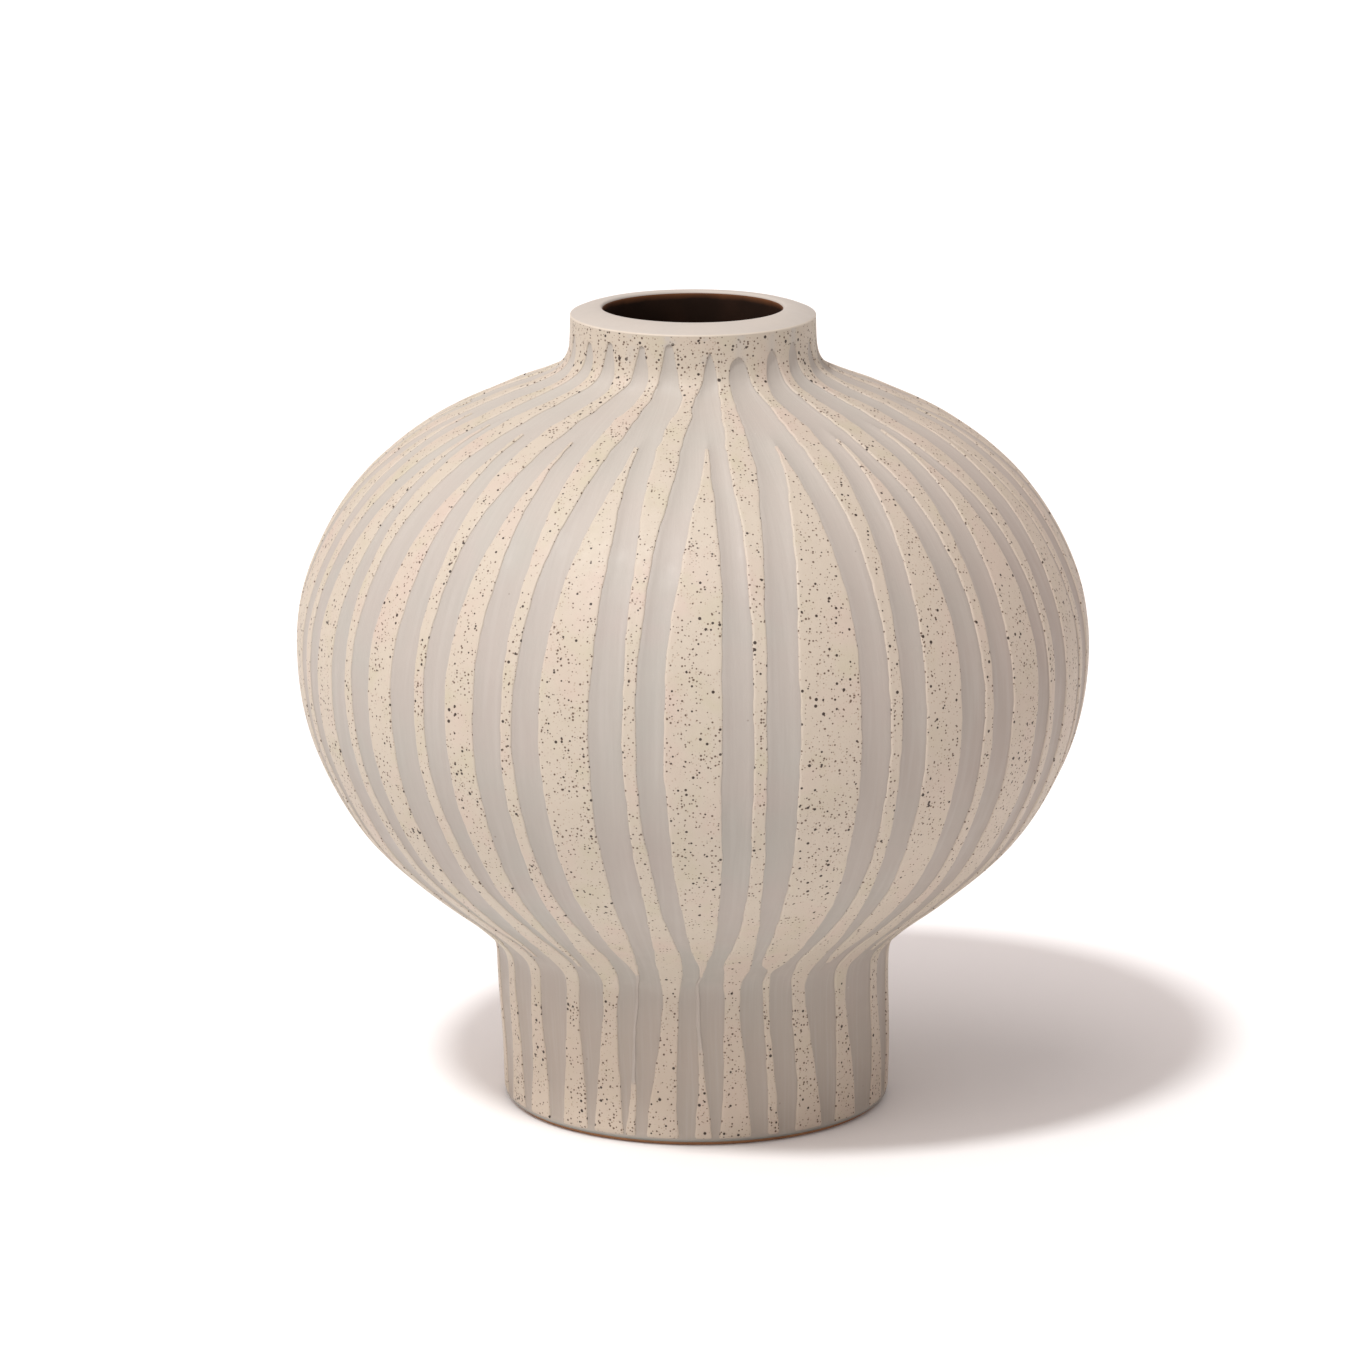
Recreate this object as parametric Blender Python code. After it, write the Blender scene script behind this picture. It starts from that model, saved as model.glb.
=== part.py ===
"""Ceramic bud vase, 150 mm tall: a squat bulb on a straight foot, under a narrow collared mouth.

The clay wall is turned hollow. Raised strips of speckled slip run over it: full-length stems, with a
spindle-shaped leaf between each two. A speckled collar, a smooth lip, a glaze lining and a raw foot
ring finish it. The origin is on the axis, at the face that the vase stands on. Azimuth 0 is the front,
towards -Y, and azimuth 90 is towards +X.
"""

import math
import random

import bmesh
import bpy

MM = 0.001

# Driving dimensions of the turned shape
HEIGHT = 150.0 * MM
FOOT_RADIUS = 36.1 * MM
WAIST_RADIUS = 37.7 * MM
WAIST_HEIGHT = 31.2 * MM
BELLY_RADIUS = 73.6 * MM
BELLY_HEIGHT = 86.3 * MM
LIP_RADIUS = 22.65 * MM
LIP_HEIGHT = 148.4 * MM

# Depths below the outer face, along its normal
BAND_THICKNESS = 0.7 * MM
GROOVE_DEPTH = 1.0 * MM
CAVITY_DEPTH = 5.0 * MM
GLAZE_FRONT_DEPTH = 5.3 * MM
GLAZE_DEPTH = 5.9 * MM

# Heights of the joins between the pieces, with their gaps
GAP = 0.3 * MM
FOOT_RING_HEIGHT = 1.3 * MM
FOOT_RING_INSET = 0.2 * MM
FOOT_RING_WIDTH = 6.0 * MM
FOOT_RING_EDGE = 0.4 * MM
RECESS_HEIGHT = 4.0 * MM
RECESS_SLOPE = 1.0 * MM
CAVITY_FLOOR = 9.0 * MM
CAVITY_CORNER = 8.0 * MM
GLAZE_LIP = 1.8 * MM
COLLAR_HEIGHT = 1.8 * MM

# The outer face, as radius and height from the foot up to the lip
OUTLINE = (
    (FOOT_RADIUS, 0.0),
    (FOOT_RADIUS + 0.4 * MM, 14.0 * MM),
    (FOOT_RADIUS + 0.8 * MM, 27.0 * MM),
    (WAIST_RADIUS, WAIST_HEIGHT),
    (WAIST_RADIUS + 2.5 * MM, WAIST_HEIGHT + 2.6 * MM),
    (44.1 * MM, 37.2 * MM),
    (51.1 * MM, 42.5 * MM),
    (61.9 * MM, 53.0 * MM),
    (70.6 * MM, 68.8 * MM),
    (BELLY_RADIUS, BELLY_HEIGHT),
    (70.9 * MM, 101.8 * MM),
    (62.1 * MM, 116.8 * MM),
    (50.2 * MM, 127.0 * MM),
    (37.0 * MM, 133.6 * MM),
    (30.6 * MM, 136.15 * MM),
    (26.0 * MM, 138.2 * MM),
    (24.0 * MM, 139.9 * MM),
    (23.05 * MM, 142.0 * MM),
    (LIP_RADIUS + 0.05 * MM, 145.2 * MM),
    (LIP_RADIUS, LIP_HEIGHT),
)

# The lip from its outer corner over the top to the bore, as shares of its width and of its rise
LIP_CROWN = ((0.0, 0.0), (0.08, 0.4), (0.37, 0.85), (0.71, 1.0), (0.88, 0.9), (1.0, 0.4), (1.0, 0.0))

# Lengths along the outer face, from the floor up, where the facets of every piece break
STATIONS_MM = (
    1.6, 8, 14, 27, 31, 34, 38, 44, 52, 62, 73, 85, 97, 109, 121, 133, 144, 153, 161, 166, 170, 173, 175,
    177, 179, 181, 183.6,
)
CAVITY_STATIONS_MM = (27, 33, 44, 62, 80, 97, 115, 133, 150, 161, 169, 176, 183.6)
SIDES = 48

# Stems: azimuths in degrees at the neck, shoulder, belly, waist and foot, and the width in mm at the neck,
# from where each stem flares up into the collar
STEM_STATIONS_MM = (179, 158, 100, 36, 5)
FRONT_STEMS = (
    (-65.0, -70.5, -73.5, -67.0, -67.0, 3.7),
    (-49.5, -57.0, -58.0, -52.5, -53.5, 2.7),
    (-33.1, -40.0, -41.8, -37.0, -38.5, 4.2),
    (-17.9, -23.0, -26.8, -24.0, -26.8, 2.3),
    (-1.0, -6.0, -8.9, -5.8, -10.0, 4.6),
    (13.5, 11.1, 9.2, 11.0, 11.5, 2.5),
    (30.1, 30.4, 29.2, 30.8, 35.2, 3.7),
    (46.1, 46.5, 46.0, 47.0, 50.0, 2.4),
    (61.6, 62.5, 62.3, 65.0, 69.0, 3.6),
    (77.0, 77.0, 75.4, 80.0, 84.0, 2.8),
)
STEM_WIDTHS_MM = (
    (0, 6.4), (10, 4.8), (20, 3.4), (29, 3.1), (37, 4.9), (43, 4.7), (52, 3.7), (62, 2.9), (80, 2.5),
    (105, 2.4), (128, 2.9), (142, 4.0), (152, 4.7), (160, 4.4), (166, 3.7), (171, 2.8), (175, 2.4),
)
COLLAR_STATION_MM = 183.6
COLLAR_FLARE_MM = 1.5

# Leaves: azimuths in degrees at the upper tip, the widest place and the lower tip; the greatest width;
# how full the lower end is, from 0.3 for blunt to 1 for drawn out; and the tail's azimuths at the
# waist and the foot, its widths there and the length at which it begins to flare towards the foot, or
# None where the leaf ends above the foot
FRONT_LEAVES = (
    (-63.4, -66.0, -62.0, 6.8, 0.8, None),
    (-48.0, -50.2, -46.5, 6.8, 0.8, None),
    (-31.9, -34.6, -31.2, 6.2, 0.9, None),
    (-14.2, -18.2, -15.0, 9.4, 0.6, (-15.8, -19.7, 0.6, 2.3, 13)),
    (3.2, -0.1, 2.2, 10.3, 0.75, (1.3, 2.2, 0.6, 3.4, 18)),
    (21.0, 19.3, 20.5, 11.6, 0.35, (20.9, 23.2, 1.4, 2.6, 10)),
    (38.8, 37.4, 38.0, 8.2, 0.5, None),
    (55.4, 54.6, 55.5, 8.4, 0.6, None),
    (73.0, 70.4, 73.0, 7.4, 0.7, None),
)
LEAF_TOP_MM = 159.0
LEAF_WIDEST_MM = 104.0
LEAF_BASE_MM = 34.5
LEAF_TIP_WIDTH_MM = 0.7
LEAF_UPPER_FULLNESS = 1.15
LEAF_TIP_CLEARANCE_MM = 1.0

# The back repeats the pattern with the small differences of hand work
BAND_PAIRS = 22
HAND_SEED = 11
STEM_SWAY_DEG = 1.2
STEM_DRIFT_DEG = 0.8
TIP_DRIFT_DEG = (-0.5, 1.0)
BACK_NECK_WIDTHS_MM = (2.3, 3.3)
BACK_LEAF_WIDTHS_MM = (6.4, 10.2)
BACK_FULLNESS = (0.4, 0.9)
BACK_TAIL = (0.8, 2.4, 14)
BACK_TAIL_SHARE = 0.4


def smooth(keys, at):
    """The value at a place on a smooth curve through (place, value) keys, held flat past both ends."""
    keys = sorted(keys)
    if at <= keys[0][0]:
        return keys[0][1]
    if at >= keys[-1][0]:
        return keys[-1][1]
    last = len(keys) - 1
    i = max(k for k in range(last) if keys[k][0] <= at)

    def slope(k):
        before, after = keys[max(k - 1, 0)], keys[min(k + 1, last)]
        return (after[1] - before[1]) / (after[0] - before[0])

    (x0, y0), (x1, y1) = keys[i], keys[i + 1]
    t = (at - x0) / (x1 - x0)
    bend0, bend1 = slope(i) * (x1 - x0), slope(i + 1) * (x1 - x0)
    return (
        y0 * (1 + 2 * t) * (1 - t) ** 2
        + bend0 * t * (1 - t) ** 2
        + y1 * t * t * (3 - 2 * t)
        + bend1 * t * t * (t - 1)
    )


def measure_outline():
    """Keys that turn a length along the outer face into a radius and into a height."""
    steps_per_span = 12
    radii = [(k, radius) for k, (radius, _) in enumerate(OUTLINE)]
    heights = [(k, height) for k, (_, height) in enumerate(OUTLINE)]
    along = [k / steps_per_span for k in range(steps_per_span * (len(OUTLINE) - 1) + 1)]
    points = [(smooth(radii, a), smooth(heights, a)) for a in along]
    length, by_radius, by_height = 0.0, [], []
    for k, (radius, height) in enumerate(points):
        if k:
            length += math.dist(points[k - 1], (radius, height))
        by_radius.append((length, radius))
        by_height.append((length, height))
    return by_radius, by_height


RADIUS_KEYS, HEIGHT_KEYS = measure_outline()


def below_face(length, depth):
    """(radius, height) of the point that lies this deep under the outer face."""
    reach = 0.4 * MM
    radius, height = smooth(RADIUS_KEYS, length), smooth(HEIGHT_KEYS, length)
    run = smooth(RADIUS_KEYS, length + reach) - smooth(RADIUS_KEYS, length - reach)
    rise = smooth(HEIGHT_KEYS, length + reach) - smooth(HEIGHT_KEYS, length - reach)
    size = math.hypot(run, rise)
    return radius - depth * rise / size, height + depth * run / size


def faceted(length, depth):
    """The same point on the straight facets between two stations."""
    stations = [s * MM for s in STATIONS_MM]
    upper = next((k for k, s in enumerate(stations) if s >= length and k), len(stations) - 1)
    low, high = stations[upper - 1], stations[upper]
    t = (length - low) / (high - low)
    (r0, z0), (r1, z1) = below_face(low, depth), below_face(high, depth)
    return r0 + (r1 - r0) * t, z0 + (z1 - z0) * t


def face_profile(stations, depth):
    """The outline at this depth, from the foot up."""
    return [below_face(s * MM, depth) for s in stations]


def material(name, colour, roughness, coat=0.0):
    made = bpy.data.materials.new(name)
    made.use_nodes = True
    shader = made.node_tree.nodes["Principled BSDF"]
    shader.inputs["Base Color"].default_value = (*colour, 1.0)
    shader.inputs["Roughness"].default_value = roughness
    shader.inputs["Metallic"].default_value = 0.0
    shader.inputs["Coat Weight"].default_value = coat
    made.diffuse_color = (*colour, 1.0)
    return made


def finish(name, mesh_data, finish_material):
    """Turns a bmesh into a named object with its faces pointing out."""
    bmesh.ops.recalc_face_normals(mesh_data, faces=mesh_data.faces)
    mesh = bpy.data.meshes.new(name)
    mesh_data.to_mesh(mesh)
    mesh_data.free()
    mesh.materials.append(finish_material)
    mesh.shade_smooth()
    mesh.set_sharp_from_angle(angle=math.radians(35))
    piece = bpy.data.objects.new(name, mesh)
    bpy.context.collection.objects.link(piece)
    return piece


def turned(name, profile, finish_material):
    """A solid of revolution about the vase's axis. A profile that ends on the axis isn't joined up."""
    on_axis = profile[0][0] == 0.0 and profile[-1][0] == 0.0
    turning = bmesh.new()
    verts = [turning.verts.new((radius, 0.0, height)) for radius, height in profile]
    pairs = list(zip(verts, verts[1:])) + ([] if on_axis else [(verts[-1], verts[0])])
    edges = [turning.edges.new(pair) for pair in pairs]
    bmesh.ops.spin(
        turning, geom=verts + edges, axis=(0, 0, 1), cent=(0, 0, 0), steps=SIDES, angle=math.tau
    )
    bmesh.ops.remove_doubles(turning, verts=turning.verts, dist=0.01 * MM)
    return finish(name, turning, finish_material)


def band(name, rows, segments, finish_material):
    """A raised strip on the clay. Each row is a length along the face with a left and right azimuth."""
    strip = bmesh.new()
    loops = []
    for length, left, right in rows:
        azimuths = [math.radians(left + (right - left) * k / segments) for k in range(segments + 1)]
        outer, inner = faceted(length, 0.0), faceted(length, BAND_THICKNESS)
        ring = [(outer, a) for a in azimuths] + [(inner, a) for a in reversed(azimuths)]
        loops.append(
            [strip.verts.new((r * math.sin(a), -r * math.cos(a), z)) for (r, z), a in ring]
        )
    for lower, upper in zip(loops, loops[1:]):
        for k in range(len(lower)):
            n = (k + 1) % len(lower)
            strip.faces.new((lower[k], lower[n], upper[n], upper[k]))
    for end in (loops[0], loops[-1]):
        for k in range(segments):
            strip.faces.new((end[k], end[k + 1], end[-k - 2], end[-k - 1]))
    return finish(name, strip, finish_material)


def edges_at(length_mm, azimuth, width_mm):
    """A row of a band, from its centre line and its width across."""
    radius = smooth(RADIUS_KEYS, length_mm * MM)
    half = math.degrees(width_mm * MM / radius) / 2
    return length_mm * MM, azimuth - half, azimuth + half


def stem_rows(stem):
    *azimuths, neck_width = stem
    keys = list(zip(STEM_STATIONS_MM, azimuths))
    neck = [(STEM_STATIONS_MM[0], neck_width), (COLLAR_STATION_MM, neck_width + COLLAR_FLARE_MM)]
    widths = [*STEM_WIDTHS_MM, *neck]
    return [edges_at(s, smooth(keys, s), smooth(widths, s)) for s in STATIONS_MM]


def leaf_width(length_mm, greatest, fullness):
    """A spindle: widest above its middle, drawn out to the upper tip and fuller at the lower one."""
    if length_mm >= LEAF_WIDEST_MM:
        share = (LEAF_TOP_MM - length_mm) / (LEAF_TOP_MM - LEAF_WIDEST_MM)
        power = LEAF_UPPER_FULLNESS
    else:
        share = (length_mm - LEAF_BASE_MM) / (LEAF_WIDEST_MM - LEAF_BASE_MM)
        power = fullness
    spread = math.sin(math.pi / 2 * min(max(share, 0.0), 1.0)) ** power
    return max(greatest * spread, LEAF_TIP_WIDTH_MM)


def leaf_rows(tip, widest, base, greatest, fullness, tail):
    keys = [(LEAF_BASE_MM, base), (LEAF_WIDEST_MM, widest), (LEAF_TOP_MM, tip)]
    lowest, highest = LEAF_BASE_MM + LEAF_TIP_CLEARANCE_MM, LEAF_TOP_MM - LEAF_TIP_CLEARANCE_MM
    lengths = [LEAF_BASE_MM, *(s for s in STATIONS_MM if lowest < s < highest), LEAF_TOP_MM]
    rows = [(s, leaf_width(s, greatest, fullness)) for s in lengths]
    if tail:
        waist, foot, thin_width, foot_width, flare_start = tail
        lengths = [s for s in STATIONS_MM if s < WAIST_HEIGHT / MM]
        keys += [(lengths[-1], waist), (lengths[0], foot)]
        flare = [thin_width + (foot_width - thin_width) * max(1 - s / flare_start, 0.0) for s in lengths]
        rows = [*zip(lengths, flare), *rows]
    return [edges_at(s, smooth(keys, s), width) for s, width in rows]


def back_bands():
    """Stems and leaves for the back, spaced as the front's are."""
    hand = random.Random(HAND_SEED)
    first, last = FRONT_STEMS[-1][:-1], [a + 360 for a in FRONT_STEMS[0][:-1]]
    gaps = BAND_PAIRS - len(FRONT_STEMS) + 1
    stems = []
    for k in range(1, gaps):
        sway = hand.uniform(-STEM_SWAY_DEG, STEM_SWAY_DEG)
        azimuths = [
            a + (b - a) * k / gaps + sway + hand.uniform(-STEM_DRIFT_DEG, STEM_DRIFT_DEG)
            for a, b in zip(first, last)
        ]
        stems.append([*azimuths, hand.uniform(*BACK_NECK_WIDTHS_MM)])
    leaves = []
    for left, right in zip([first, *stems], [*stems, last]):
        shoulder, belly, waist, foot = ((left[k] + right[k]) / 2 for k in (1, 2, 3, 4))
        greatest = hand.uniform(*BACK_LEAF_WIDTHS_MM)
        fullness = hand.uniform(*BACK_FULLNESS)
        tail = (waist, foot, *BACK_TAIL) if hand.random() < BACK_TAIL_SHARE else None
        leaves.append((shoulder + hand.uniform(*TIP_DRIFT_DEG), belly, waist, greatest, fullness, tail))
    return stems, leaves


def foot_ring_radius():
    """The ring's outer radius, a little inside the lower edge of the clay wall."""
    return below_face(STATIONS_MM[0] * MM, GROOVE_DEPTH)[0] - FOOT_RING_INSET


def rounded_floor(wall_radius, height, corner_radius):
    """Round the corner from the wall down to the cavity's floor, then along the floor to the axis."""
    steps = 4
    turns = [math.pi / 2 * k / steps for k in range(steps + 1)]
    corner = [
        (wall_radius - corner_radius * (1 - math.cos(t)), height + corner_radius * (1 - math.sin(t)))
        for t in turns
    ]
    return [*corner, (0.0, height)]


def clay_body_profile():
    """Outer face up, over the top, down the cavity wall to its floor, and back along the underside."""
    outer = face_profile(STATIONS_MM, GROOVE_DEPTH)
    top = LIP_HEIGHT - GAP
    neck = [(LIP_RADIUS - GROOVE_DEPTH, top), (LIP_RADIUS - CAVITY_DEPTH, top)]
    cavity = face_profile(CAVITY_STATIONS_MM, CAVITY_DEPTH)[::-1]
    floor = rounded_floor(cavity[-1][0], CAVITY_FLOOR, CAVITY_CORNER)
    seat = FOOT_RING_HEIGHT + GAP
    ring_inner = foot_ring_radius() - FOOT_RING_WIDTH
    underside = [(0.0, RECESS_HEIGHT), (ring_inner - RECESS_SLOPE, RECESS_HEIGHT), (ring_inner, seat)]
    return underside + outer + neck + cavity + floor


def interior_glaze_profile():
    """A thin lining that follows the cavity from under the lip to its floor."""
    top = LIP_HEIGHT - GLAZE_LIP
    thickness = GLAZE_DEPTH - GLAZE_FRONT_DEPTH
    front = face_profile(CAVITY_STATIONS_MM, GLAZE_FRONT_DEPTH)
    back = face_profile(CAVITY_STATIONS_MM, GLAZE_DEPTH)[::-1]
    below = rounded_floor(front[0][0], CAVITY_FLOOR + GAP, CAVITY_CORNER - GAP)[::-1]
    above = rounded_floor(back[-1][0], CAVITY_FLOOR + GAP + thickness, CAVITY_CORNER - GAP - thickness)
    rim = [(LIP_RADIUS - GLAZE_FRONT_DEPTH, top), (LIP_RADIUS - GLAZE_DEPTH, top)]
    return below + front + rim + back + above


def collar_profile():
    """A thin band round the neck, just under the lip."""
    bottom, top = LIP_HEIGHT - GAP - COLLAR_HEIGHT, LIP_HEIGHT - GAP
    inner = LIP_RADIUS - BAND_THICKNESS
    return [(LIP_RADIUS, bottom), (LIP_RADIUS, top), (inner, top), (inner, bottom)]


def lip_profile():
    """A flat-bottomed ring, domed on top, that ends the wall."""
    width, rise = GLAZE_DEPTH, HEIGHT - LIP_HEIGHT
    return [(LIP_RADIUS - width * across, LIP_HEIGHT + rise * up) for across, up in LIP_CROWN]


def foot_ring_profile():
    """A rectangle with its two lower edges cut off."""
    outer = foot_ring_radius()
    inner = outer - FOOT_RING_WIDTH
    return [
        (outer - FOOT_RING_EDGE, 0.0),
        (outer, FOOT_RING_EDGE),
        (outer, FOOT_RING_HEIGHT),
        (inner, FOOT_RING_HEIGHT),
        (inner, FOOT_RING_EDGE),
        (inner + FOOT_RING_EDGE, 0.0),
    ]


def build():
    for old in list(bpy.data.objects):
        bpy.data.objects.remove(old, do_unlink=True)

    groove = material("groove_glaze", (0.52, 0.47, 0.42), 0.42)
    speckled = material("speckled_slip", (0.71, 0.61, 0.49), 0.6)
    brown = material("brown_glaze", (0.018, 0.008, 0.004), 0.12, coat=0.5)
    smooth_lip = material("lip_glaze", (0.66, 0.59, 0.5), 0.4)
    raw_clay = material("raw_clay", (0.36, 0.17, 0.08), 0.85)

    turned("clay_body", clay_body_profile(), groove)
    turned("interior_glaze", interior_glaze_profile(), brown)
    turned("speckled_collar", collar_profile(), speckled)
    turned("lip", lip_profile(), smooth_lip)
    turned("foot_ring", foot_ring_profile(), raw_clay)

    back_stems, back_leaves = back_bands()
    for number, azimuths in enumerate([*FRONT_STEMS, *back_stems], start=1):
        band(f"stem_band_{number:02d}", stem_rows(azimuths), 1, speckled)
    for number, leaf in enumerate([*FRONT_LEAVES, *back_leaves], start=1):
        band(f"leaf_band_{number:02d}", leaf_rows(*leaf), 2, speckled)


build()
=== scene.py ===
"""Looks for the ceramic bud vase: slip bands, scraped grooves, lip, lining and raw foot on the CAD frame."""

import math

import bmesh
import bpy
import numpy as np
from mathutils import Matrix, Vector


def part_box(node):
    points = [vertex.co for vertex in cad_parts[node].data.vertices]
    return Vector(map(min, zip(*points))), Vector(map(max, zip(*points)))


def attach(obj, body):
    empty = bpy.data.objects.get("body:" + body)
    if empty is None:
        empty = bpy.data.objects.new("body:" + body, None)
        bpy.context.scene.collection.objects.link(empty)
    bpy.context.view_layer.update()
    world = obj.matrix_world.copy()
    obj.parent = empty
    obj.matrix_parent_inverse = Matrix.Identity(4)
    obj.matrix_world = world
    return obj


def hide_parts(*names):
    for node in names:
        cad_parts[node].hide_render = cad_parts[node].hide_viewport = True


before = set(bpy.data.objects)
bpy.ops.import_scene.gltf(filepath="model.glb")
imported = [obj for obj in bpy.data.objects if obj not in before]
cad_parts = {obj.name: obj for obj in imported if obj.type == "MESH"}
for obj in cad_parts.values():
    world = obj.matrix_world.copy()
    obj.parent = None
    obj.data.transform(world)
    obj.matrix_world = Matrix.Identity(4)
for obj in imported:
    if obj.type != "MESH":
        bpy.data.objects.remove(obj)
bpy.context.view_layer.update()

MM = 0.001
BODY = "root"

# How finely the surfaces are drawn
ROW_STEP = 0.55 * MM
FINE_ROW_STEP = 0.2 * MM
FINE_FROM = 172.0 * MM
COARSE_FROM = 8.0 * MM
CAVITY_RINGS = 28
COLLAR_RINGS = 16
GROOVE_COLUMNS = 7
STEM_COLUMNS = 4
LEAF_COLUMNS = 9
TURNED_SIDES = 288
SHARP_ANGLE = math.radians(50)

# Relief, as depths below the outer face
EDGE_ROUND = 0.45 * MM
EDGE_DEPTH = 0.24 * MM
FACE_DEPTH = 0.02 * MM
WALL_FOOT_DEPTH = 0.85 * MM
UNDER_BAND_DEPTH = 0.50 * MM
GROOVE_DEEPEST = 0.62 * MM
LINING_DEPTH = 5.9 * MM
LINING_THICKNESS = 0.6 * MM
CAVITY_DEPTH = 5.0 * MM

# Lengths along the outer face, from the floor up
BAND_BOTTOM = 1.4 * MM
BEAD_BOTTOM = 0.75 * MM
BEAD_TOP = 1.3 * MM
BEAD_BLEND = 0.8 * MM
BEAD_ROUND = 0.55 * MM
BEAD_DEPTH = 0.16 * MM
COLLAR_BOTTOM = 186.0 * MM
CREST_ABOVE_TIP = 5.0 * MM
CREST_BELOW_TIP = 4.0 * MM
NECK_MIDDLE, NECK_SPREAD = 166.0 * MM, 13.0 * MM
WAIST_MIDDLE, WAIST_SPREAD = 34.0 * MM, 9.0 * MM
LINING_TOP, LINING_BOTTOM = 182.0 * MM, 27.0 * MM
CAVITY_TOP, CAVITY_BOTTOM = 181.0 * MM, 26.0 * MM

# A groove narrower than this has soft, shallow edges; its rounded top closes over the arch's height
OPEN_GROOVE = 0.9 * MM
ARCH_HEIGHT = 2.6 * MM

# How far a cut edge strays, as waves of (length, amplitude) in millimetres
FINE_WAVES_MM = ((3.1, 0.025), (5.3, 0.035), (9.0, 0.05), (23.0, 0.10))
KNOBBLY_WAVES_MM = ((4.2, 0.06), (7.5, 0.09), (13.0, 0.13))

# A band's rounded edge, as shares of (inset, depth); a depth of None is the foot of its wall
EDGE_PROFILE = ((-0.10, None), (0.0, 1.0), (0.13, 0.55), (0.32, 0.25), (0.60, 0.07), (1.0, 0.0))

# Under the foot
RECESS_HEIGHT = 4.0 * MM
FOOT_RING_WIDTH = 6.0 * MM
FOOT_RING_EDGE = 0.4 * MM

# The foot lies this far to the right below the waist, eased in over these heights
FOOT_SHIFT = 0.6 * MM
SHIFT_FROM = 27.0 * MM
SHIFT_OVER = 19.0 * MM

# A leaf's tail thinner than this, below this length, is a bare crest between two grooves
BARE_WIDTH = 0.80 * MM
BARE_BLEND = 0.35 * MM
BARE_BELOW = 34.0 * MM

# Smears of grey glaze over the collar: azimuth and half width in degrees, lower and upper length in
# millimetres, strength
SMEARS = (
    (-12.0, 1.6, 180.0, 188.0, 0.85),
    (-30.5, 1.4, 181.0, 187.0, 0.45),
    (5.5, 1.3, 181.5, 187.0, 0.45),
    (22.5, 2.2, 180.0, 187.5, 0.65),
    (39.5, 1.6, 180.0, 187.0, 0.60),
    (53.5, 2.0, 180.0, 188.0, 0.85),
)
SMEAR_FADE = 0.8 * MM

# Where each groove's rounded top lies, for the grooves right of each front stem, and for all the others
FRONT_ARCHES_MM = (184.0, 184.7, 184.7, 185.3, 183.7, 182.7, 183.3, 184.2, 183.6)
OTHER_ARCHES_MM = (182.2, 185.0)

# The studio: a white key light and a warm softbox, as (direction, spread in degrees, strength), and a warm fill
FILL_COLOUR = (1.0, 0.90, 0.875)
FILL_STRENGTH = 0.58
KEY_LIGHT = ((-0.32, -0.44, 1.0), 7.0, 2.0)
SOFTBOX = ((-0.75, -0.25, 1.0), 80.0, 1.35)
FLOOR_HALF = 12.0
CAMERA_PLACE = (-0.0015, -1.2139, 0.3677)
CAMERA_TILT_DEG = 76.6
CAMERA_LENS = 176.3


# ---------------------------------------------------------------- curves

def natural_spline(x, y):
    """A function for the twice-smooth curve through the points, straight past both ends."""
    n = len(x)
    h = np.diff(x)
    system = np.eye(n)
    rhs = np.zeros(n)
    for i in range(1, n - 1):
        system[i, i - 1:i + 2] = h[i - 1], 2 * (h[i - 1] + h[i]), h[i]
        rhs[i] = 6 * ((y[i + 1] - y[i]) / h[i] - (y[i] - y[i - 1]) / h[i - 1])
    bend = np.linalg.solve(system, rhs)

    def at(v, order=0):
        v = np.asarray(v, float)
        inside = np.clip(v, x[0], x[-1])
        i = np.clip(np.searchsorted(x, inside, side="right") - 1, 0, n - 2)
        a, b = (x[i + 1] - inside) / h[i], (inside - x[i]) / h[i]
        turn = (3 * b * b - 1) * bend[i + 1] - (3 * a * a - 1) * bend[i]
        slope = (y[i + 1] - y[i]) / h[i] + h[i] / 6 * turn
        if order:
            return slope
        bow = (a ** 3 - a) * bend[i] + (b ** 3 - b) * bend[i + 1]
        value = a * y[i] + b * y[i + 1] + h[i] ** 2 / 6 * bow
        return value + slope * (v - inside)

    return at


def through(x, y, at):
    """Values on a smooth curve through the points that never swings past them."""
    h = np.diff(x)
    d = np.diff(y) / h
    slope = np.zeros(len(x))
    slope[0], slope[-1] = d[0], d[-1]
    for i in range(1, len(x) - 1):
        if d[i - 1] * d[i] > 0:
            slope[i] = 2 * d[i - 1] * d[i] / (d[i - 1] + d[i])
    at = np.clip(at, x[0], x[-1])
    i = np.clip(np.searchsorted(x, at, side="right") - 1, 0, len(h) - 1)
    t = (at - x[i]) / h[i]
    low = y[i] * (1 + 2 * t) * (1 - t) ** 2 + slope[i] * h[i] * t * (1 - t) ** 2
    high = y[i + 1] * t * t * (3 - 2 * t) + slope[i + 1] * h[i] * t * t * (t - 1)
    return low + high


def ease(t):
    t = np.clip(t, 0.0, 1.0)
    return t * t * (3 - 2 * t)


def wander(rng, s, waves_mm):
    """A small random drift along s, as a sum of waves given as (length, amplitude) in millimetres."""
    total = np.zeros_like(s)
    for length, amplitude in waves_mm:
        stretch = rng.uniform(0.8, 1.25)
        total += amplitude * MM * np.sin(math.tau * (s / (length * MM * stretch) + rng.uniform()))
    return total


# ---------------------------------------------------------------- the frame's shape

def polar(node):
    """Radius, azimuth (0 at the front, growing to the right) and height of a CAD node's points."""
    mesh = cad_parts[node].data
    co = np.zeros(len(mesh.vertices) * 3)
    mesh.vertices.foreach_get("co", co)
    x, y, z = co.reshape(-1, 3).T
    return np.hypot(x, y), np.arctan2(x, -y), z


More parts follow.
